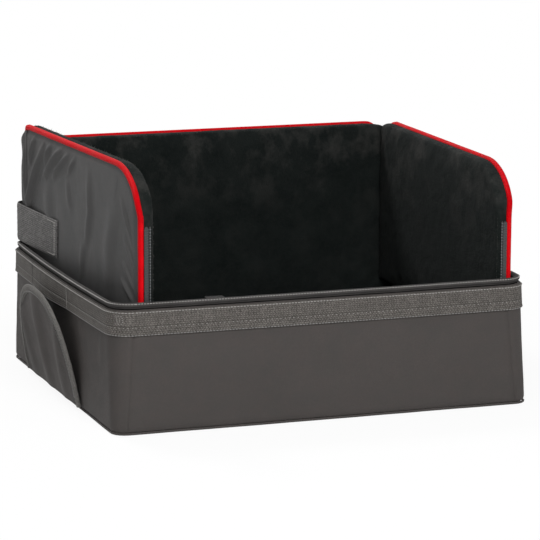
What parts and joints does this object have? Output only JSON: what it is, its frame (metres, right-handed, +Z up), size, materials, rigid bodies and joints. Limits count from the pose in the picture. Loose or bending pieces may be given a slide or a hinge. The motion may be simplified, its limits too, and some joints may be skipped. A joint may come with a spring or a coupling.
{
  "type": "dog car seat",
  "caption": "Open fabric box with a padded plush insert of a cushion and three piped walls, belt flaps on its sides and a lowered zipped front flap.",
  "frame": {"origin": "centre of the box's footprint, on the surface it rests on", "axes": "+X to the right of somebody facing the seat's open front, +Y from the front to the back wall, +Z up"},
  "size_m": [0.5004, 0.3986, 0.2637],
  "materials": {
    "cover_front": "woven nylon, fine weave",
    "cover_rear": "woven nylon, fine weave",
    "cover_left": "woven nylon, fine weave",
    "cover_right": "woven nylon, fine weave",
    "cover_base": "woven nylon, fine weave",
    "board_front": "pressed fibre board",
    "board_rear": "pressed fibre board",
    "board_left": "pressed fibre board",
    "board_right": "pressed fibre board",
    "board_base": "pressed fibre board",
    "lining_front": "plain lining cloth",
    "lining_rear": "plain lining cloth",
    "lining_left": "plain lining cloth",
    "lining_right": "plain lining cloth",
    "lining_floor": "plain lining cloth",
    "foot_piping": "corded edge binding",
    "rim_roll": "rolled and stitched edge",
    "rim_webbing": "ribbed woven webbing",
    "left_belt_flap": "woven nylon, fine weave",
    "right_belt_flap": "woven nylon, fine weave",
    "left_belt_flap_binding": "soft binding tape",
    "right_belt_flap_binding": "soft binding tape",
    "cushion_plush": "short plush pile",
    "front_flap_plush": "short plush pile",
    "back_wall_plush": "short plush pile",
    "left_wall_plush": "short plush pile",
    "right_wall_plush": "short plush pile",
    "cushion_foam": "open-cell foam",
    "back_wall_foam": "open-cell foam",
    "left_wall_foam": "open-cell foam",
    "right_wall_foam": "open-cell foam",
    "cushion_underside": "woven nylon, fine weave",
    "front_flap_nylon": "woven nylon, fine weave",
    "back_wall_nylon": "woven nylon, fine weave",
    "left_wall_nylon": "woven nylon, fine weave",
    "right_wall_nylon": "woven nylon, fine weave",
    "back_wall_piping": "satin corded piping",
    "left_wall_piping": "satin corded piping",
    "right_wall_piping": "satin corded piping",
    "back_strap": "ribbed woven webbing",
    "left_wall_strap": "ribbed woven webbing",
    "right_wall_strap": "ribbed woven webbing",
    "tether_tab": "ribbed woven webbing",
    "left_wall_zip_tape": "woven zip tape",
    "right_wall_zip_tape": "woven zip tape",
    "left_flap_zip_tape": "woven zip tape",
    "right_flap_zip_tape": "woven zip tape",
    "left_wall_zip_coil": "moulded nylon coil",
    "right_wall_zip_coil": "moulded nylon coil",
    "left_flap_zip_coil": "moulded nylon coil",
    "right_flap_zip_coil": "moulded nylon coil",
    "left_zip_slider": "painted zinc",
    "right_zip_slider": "painted zinc",
    "left_zip_pull": "painted zinc",
    "right_zip_pull": "painted zinc",
    "tether_ring": "plated steel wire"
  },
  "bodies": {
    "box": {"cover_front": "cover_front", "cover_rear": "cover_rear", "cover_left": "cover_left", "cover_right": "cover_right", "cover_base": "cover_base", "board_front": "board_front", "board_rear": "board_rear", "board_left": "board_left", "board_right": "board_right", "board_base": "board_base", "lining_front": "lining_front", "lining_rear": "lining_rear", "lining_left": "lining_left", "lining_right": "lining_right", "lining_floor": "lining_floor", "foot_piping": "foot_piping", "rim_roll": "rim_roll", "rim_webbing": "rim_webbing"},
    "left_flap": {"left_belt_flap": "left_belt_flap", "left_belt_flap_binding": "left_belt_flap_binding"},
    "right_flap": {"right_belt_flap": "right_belt_flap", "right_belt_flap_binding": "right_belt_flap_binding"},
    "front_flap": {"front_flap_nylon": "front_flap_nylon", "front_flap_plush": "front_flap_plush", "left_flap_zip_coil": "left_flap_zip_coil", "left_flap_zip_tape": "left_flap_zip_tape", "right_flap_zip_coil": "right_flap_zip_coil", "right_flap_zip_tape": "right_flap_zip_tape"},
    "left_slider": {"left_zip_slider": "left_zip_slider", "left_zip_pull": "left_zip_pull"},
    "right_slider": {"right_zip_slider": "right_zip_slider", "right_zip_pull": "right_zip_pull"},
    "insert": {"cushion_foam": "cushion_foam", "cushion_plush": "cushion_plush", "cushion_underside": "cushion_underside", "back_wall_foam": "back_wall_foam", "back_wall_nylon": "back_wall_nylon", "back_wall_piping": "back_wall_piping", "back_wall_plush": "back_wall_plush", "back_strap": "back_strap", "tether_tab": "tether_tab"},
    "left_wall": {"left_wall_foam": "left_wall_foam", "left_wall_nylon": "left_wall_nylon", "left_wall_piping": "left_wall_piping", "left_wall_plush": "left_wall_plush", "left_wall_strap": "left_wall_strap", "left_wall_zip_coil": "left_wall_zip_coil", "left_wall_zip_tape": "left_wall_zip_tape"},
    "right_wall": {"right_wall_foam": "right_wall_foam", "right_wall_nylon": "right_wall_nylon", "right_wall_piping": "right_wall_piping", "right_wall_plush": "right_wall_plush", "right_wall_strap": "right_wall_strap", "right_wall_zip_coil": "right_wall_zip_coil", "right_wall_zip_tape": "right_wall_zip_tape"},
    "ring": {"tether_ring": "tether_ring"}
  },
  "joints": [
    {"name": "insert_lift", "type": "slide", "parent": "box", "child": "insert", "axis": [0, 0, 1], "range_m": [0, 0.22]},
    {"name": "left_wall_fold", "type": "hinge", "parent": "insert", "child": "left_wall", "pos_m": [-0.1985, 0.1675, 0], "axis": [0, 0, 1], "range_deg": [0, 77.3]},
    {"name": "right_wall_fold", "type": "hinge", "parent": "insert", "child": "right_wall", "pos_m": [0.1985, 0.1675, 0], "axis": [0, 0, 1], "range_deg": [-79.5, 0]},
    {"name": "left_belt_flap_lean", "type": "hinge", "parent": "box", "child": "left_flap", "pos_m": [-0.2253, 0.019, 0.005], "axis": [0, -1, 0], "range_deg": [-4.5, 68.5], "stiffness_Nm_per_rad": 0.15},
    {"name": "right_belt_flap_lean", "type": "hinge", "parent": "box", "child": "right_flap", "pos_m": [0.2253, 0.019, 0.005], "axis": [0, 1, 0], "range_deg": [-4.5, 68.5], "stiffness_Nm_per_rad": 0.15},
    {"name": "front_flap_raise", "type": "hinge", "parent": "box", "child": "front_flap", "pos_m": [0, -0.175, 0.1265], "axis": [1, 0, 0], "range_deg": [0, 180]},
    {"name": "left_zip_close", "type": "slide", "parent": "front_flap", "child": "left_slider", "axis": [0, 0, -1], "range_m": [0, 0.05]},
    {"name": "right_zip_close", "type": "slide", "parent": "front_flap", "child": "right_slider", "axis": [0, 0, -1], "range_m": [0, 0.05]},
    {"name": "tether_ring_lift", "type": "hinge", "parent": "insert", "child": "ring", "pos_m": [0, 0.088, 0.0606], "axis": [-1, 0, 0], "range_deg": [0, 150]}
  ]
}
